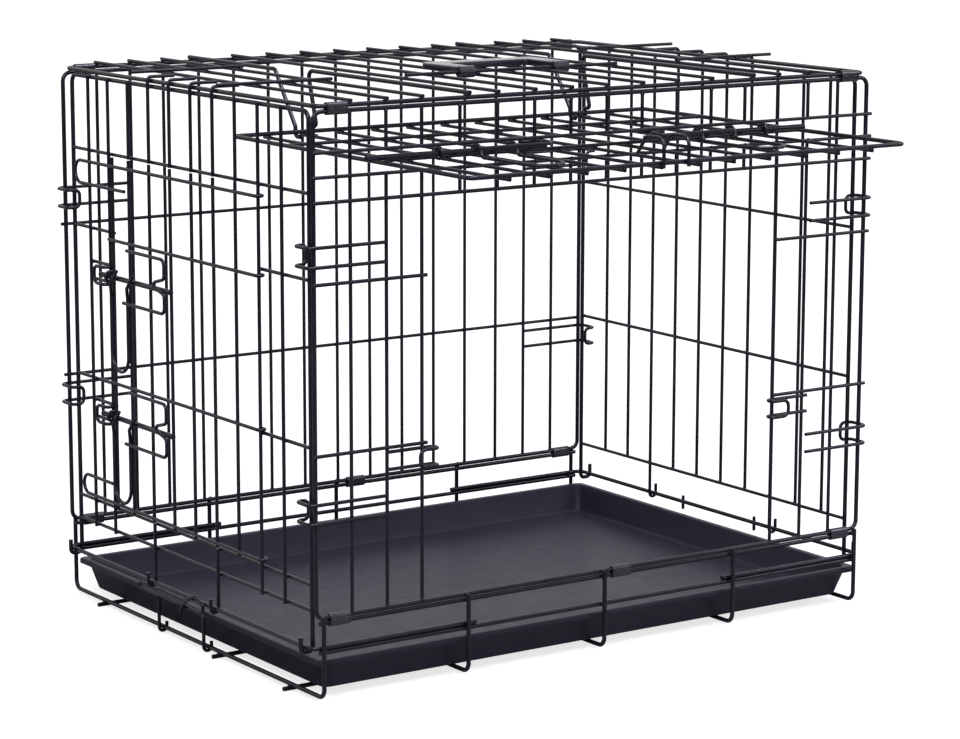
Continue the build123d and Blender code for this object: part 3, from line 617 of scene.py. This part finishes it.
def pan_rings(low, high):
    """Rings of points over the pan: under its floor, up outside, over the rim and down inside."""
    centre = (low + high) / 2
    half = (high - low) / 2
    wall = 2.2 * MM
    flange = 5.0 * MM
    lip = 5.0 * MM
    wall_corner = 9.0 * MM
    rim_corner = 5.0 * MM
    end_slope = 6.5 * MM
    side_slope = 9.0 * MM
    turn = 2.2 * MM
    lip_round = 0.4 * MM
    rim_round = 1.6 * MM
    mouth_round = 1.8 * MM
    flange_drop = 1.6 * MM
    flange_drop_share = 0.06
    flange_ease = 0.5 * MM
    flange_start = 1.5 * MM
    floor_z = low.z + wall
    flange_z = high.z - wall
    lip_z = high.z - lip

    def rim(inward, height):
        corner = rim_corner + (wall_corner - rim_corner) * min(inward / flange, 1.0)
        return rounded_loop(centre, half.x - inward, half.y - inward, corner, height)

    def side(inward, share, height):
        corner = wall_corner - max(inward, 0.0)
        across = half.x - flange - inward - end_slope * share
        along = half.y - flange - inward - side_slope * share
        return rounded_loop(centre, across, along, corner, height)

    def floor_turn(angle, inward, bottom, depth):
        rise = turn * (1 - math.cos(angle))
        return side(inward + turn * (1 - math.sin(angle)), 1.0 - rise / depth, bottom + rise)

    rings = [floor_turn(angle, 0.0, low.z, flange_z - low.z) for angle in quarter_turn(6)]
    rings.append(side(0.0, flange_drop_share, flange_z - flange_drop))
    rings.append(side(-flange_ease, 0.0, flange_z - flange_ease))
    rings.append(rim(flange - flange_start, flange_z))
    rings.append(rim(wall, flange_z))
    rings.append(rim(wall, lip_z + lip_round))
    for part in quarter_turn(4):
        angle = 2 * part
        rings.append(rim(wall / 2 * (1 + math.cos(angle)), lip_z + lip_round * (1 - math.sin(angle))))
    for angle in quarter_turn(5):
        rings.append(rim(rim_round * (1 - math.cos(angle)), high.z - rim_round * (1 - math.sin(angle))))
    for angle in quarter_turn(5):
        inward = flange + wall - mouth_round * (1 - math.sin(angle))
        rings.append(rim(inward, high.z - mouth_round * (1 - math.cos(angle))))
    for angle in reversed(quarter_turn(6)):
        rings.append(floor_turn(angle, wall, floor_z, high.z - floor_z))
    return rings


def pan_shell():
    """The floor pan with a rolled rim, round inside corners and a soft turn from wall to floor."""
    built = bmesh.new()
    rings = pan_rings(*(Vector(corner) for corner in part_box("floor_pan")))
    rows = [[built.verts.new(point) for point in ring] for ring in rings]
    bridge(built, rows)
    built.faces.new(rows[0])
    built.faces.new(rows[-1])
    bmesh.ops.recalc_face_normals(built, faces=built.faces)
    mesh = bpy.data.meshes.new("floor_pan_shell")
    built.to_mesh(mesh)
    built.free()
    for polygon in mesh.polygons:
        polygon.use_smooth = True
    mesh.set_sharp_from_angle(angle=math.radians(50))
    piece = place_piece("floor_pan_shell", mesh, "pan", "pan")
    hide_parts("floor_pan")


pan_shell()


# Carry handle
def rounded_outline(corners):
    """Corners (x, y, radius) of a closed outline, anticlockwise, with round corners."""
    steps = 6
    outline = []
    for index, (x, y, radius) in enumerate(corners):
        here = Vector((x, y))
        before = (Vector(corners[index - 1][:2]) - here).normalized()
        after = (Vector(corners[(index + 1) % len(corners)][:2]) - here).normalized()
        half_angle = before.angle(after) / 2
        reach = radius / math.tan(half_angle)
        hub = here + (before + after).normalized() * radius / math.sin(half_angle)
        start = here + before * reach - hub
        end = here + after * reach - hub
        swing = start.angle_signed(end)
        for step in range(steps + 1):
            turned = Matrix.Rotation(-swing * step / steps, 2) @ start
            outline.append(hub + turned)
    return outline


def soft_plate(built, outline, low_z, high_z):
    """A flat plate of the outline with rounded edges."""
    same = 0.01 * MM
    edge_round = 1.6 * MM
    under = [built.verts.new((point.x, point.y, low_z)) for point in outline]
    bmesh.ops.remove_doubles(built, verts=under, dist=same)
    sheet = built.faces.new([vertex for vertex in under if vertex.is_valid])
    lifted = bmesh.ops.extrude_face_region(built, geom=[sheet])
    for made in lifted["geom"]:
        if isinstance(made, bmesh.types.BMVert):
            made.co.z = high_z
    bmesh.ops.recalc_face_normals(built, faces=built.faces)
    rims = [edge for edge in built.edges if abs(edge.verts[0].co.z - edge.verts[1].co.z) < same]
    bmesh.ops.bevel(
        built, geom=rims, offset=edge_round, segments=4, profile=0.5, affect="EDGES", clamp_overlap=True
    )


def bored_foot(built, axle, length, outer_r, bore_r):
    """A round foot along X with chamfered ends and a bore for the roof wire."""
    steps = 28
    chamfer = 0.9 * MM
    half = length / 2
    profile = [
        (-half, bore_r),
        (-half, outer_r - chamfer),
        (-half + chamfer, outer_r),
        (half - chamfer, outer_r),
        (half, outer_r - chamfer),
        (half, bore_r),
    ]
    rows = []
    for along, radius in profile:
        row = []
        for step in range(steps):
            angle = 2 * math.pi * step / steps
            point = axle + Vector((along, radius * math.cos(angle), radius * math.sin(angle)))
            row.append(built.verts.new(point))
        rows.append(row)
    bridge(built, rows + rows[:1])


def carry_strap():
    """The carry handle: a flat strap with softened edges on two round feet."""
    low, high = (Vector(corner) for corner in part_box("carry_handle"))
    foot_length = 17.0 * MM
    foot_x = 52.0 * MM
    foot_r = 5.4 * MM
    bore_r = FILL_R + 0.2 * MM
    strap_width = 21.0 * MM
    strap_thick = 6.0 * MM
    strap_rise = 0.25 * MM
    soft = 9.0 * MM
    tight = 4.0 * MM
    fine = 0.5 * MM
    axle_y = low.y + foot_r
    axle_z = low.z + foot_r
    inner = foot_x - foot_length / 2
    outer = foot_x + foot_length / 2
    arm_y = axle_y + 0.6 * foot_r
    inside_y = high.y - strap_width
    outline = rounded_outline(
        [
            (-outer, arm_y, fine),
            (-inner, arm_y, fine),
            (-inner, inside_y, tight),
            (inner, inside_y, tight),
            (inner, arm_y, fine),
            (outer, arm_y, fine),
            (high.x, inside_y, tight),
            (high.x, high.y, soft),
            (low.x, high.y, soft),
            (low.x, inside_y, tight),
        ]
    )
    strap_low = axle_z - FILL_R + strap_rise
    built = bmesh.new()
    soft_plate(built, outline, strap_low, strap_low + strap_thick)
    for middle in (-foot_x, foot_x):
        bored_foot(built, Vector((middle, axle_y, axle_z)), foot_length, foot_r, bore_r)
    bmesh.ops.recalc_face_normals(built, faces=built.faces)
    mesh = bpy.data.meshes.new("carry_strap")
    built.to_mesh(mesh)
    built.free()
    flat_area = foot_length * foot_length
    for polygon in mesh.polygons:
        polygon.use_smooth = polygon.area < flat_area
    mesh.set_sharp_from_angle(angle=math.radians(40))
    piece = place_piece("carry_strap", mesh, "handle", "handle")
    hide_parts("carry_handle")


carry_strap()


# Floor and light
def studio_floor():
    """A pale floor that the camera sees brighten to white with distance."""
    reach = 9.0
    near_white = 0.76
    far_white = 0.98
    mesh = bpy.data.meshes.new("studio_floor")
    corners = [(-reach, -reach, 0.0), (reach, -reach, 0.0), (reach, reach, 0.0), (-reach, reach, 0.0)]
    mesh.from_pydata(corners, [], [(0, 1, 2, 3)])
    floor = bpy.data.objects.new("studio_floor", mesh)
    scene.collection.objects.link(floor)
    paint = Finish("studio_floor_paint")
    sight = Value(paint, paint.add("ShaderNodeLightPath", {}, {}).outputs["Is Camera Ray"])
    far = paint.distance().clipped(0.9, 2.6)
    glow = sight * (near_white + (far_white - near_white) * far)
    paint.set(
        Base_Color=paint.blend(paint.noise(scale=0.8), (0.27, 0.27, 0.28), (0.31, 0.31, 0.31)),
        Roughness=0.9,
        Emission_Color=paint.blend(glow, (0.0, 0.0, 0.0), (1.0, 1.0, 1.0)),
        Emission_Strength=1.0,
    )
    mesh.materials.append(paint.material)


def studio_world():
    """A white backdrop to look at, which lights the crate less brightly."""
    lit = 0.42
    world = bpy.data.worlds.new("studio_world")
    scene.world = world
    world.use_nodes = True
    sky = NodeMaker(world.node_tree)
    path = sky.add("ShaderNodeLightPath", {}, {}).outputs
    seen = Value(sky, path["Is Camera Ray"]) + path["Is Glossy Ray"] + path["Is Transmission Ray"]
    backdrop = sky.tree.nodes["Background"]
    sky.feed(backdrop.inputs["Color"], (1.0, 1.0, 1.0, 1.0))
    sky.feed(backdrop.inputs["Strength"], lit + (1.0 - lit) * seen.clipped(0.0, 1.0))


LAMP_TINT = (0.93, 0.88, 1.0)


def softbox(name, place, aim, size, power):
    """A rectangular studio lamp that looks at a point."""
    lamp = bpy.data.lights.new(name, "AREA")
    lamp.shape = "RECTANGLE"
    lamp.size, lamp.size_y = size
    lamp.energy = power
    lamp.color = LAMP_TINT
    holder = bpy.data.objects.new(name, lamp)
    scene.collection.objects.link(holder)
    holder.location = place
    holder.rotation_mode = "QUATERNION"
    holder.rotation_quaternion = (Vector(aim) - Vector(place)).to_track_quat("-Z", "Y")


studio_floor()
studio_world()
softbox("key_softbox", place=(-1.9, -1.7, 2.4), aim=(0.0, 0.0, 0.25), size=(0.8, 0.8), power=78.0)
softbox("fill_softbox", place=(2.2, -1.5, 1.6), aim=(0.0, 0.0, 0.25), size=(0.7, 0.7), power=24.0)
softbox("top_softbox", place=(0.1, -1.0, 2.6), aim=(0.0, 0.0, 0.2), size=(1.8, 0.7), power=100.0)


# Camera at the photograph's viewing angle
def photo_camera():
    """The camera that was fitted to the photograph's wires."""
    place = (-1.6086, -2.3737, 0.7512)
    heading = math.radians(34.46)
    down = math.radians(10.41)
    roll = math.radians(0.13)
    focal_px = 3079.8
    photo_width_px = 960.0
    sensor_width = 36.0
    forward = Vector(
        (math.sin(heading) * math.cos(down), math.cos(heading) * math.cos(down), -math.sin(down))
    )
    camera = bpy.data.objects.new("photo_camera", bpy.data.cameras.new("photo_camera"))
    scene.collection.objects.link(camera)
    camera.data.sensor_fit = "HORIZONTAL"
    camera.data.sensor_width = sensor_width
    camera.data.lens = focal_px / photo_width_px * sensor_width
    camera.data.clip_end = 60.0
    camera.rotation_mode = "QUATERNION"
    camera.location = place
    aimed = forward.to_track_quat("-Z", "Y")
    camera.rotation_quaternion = aimed @ Matrix.Rotation(roll, 3, "Z").to_quaternion()
    scene.camera = camera


photo_camera()
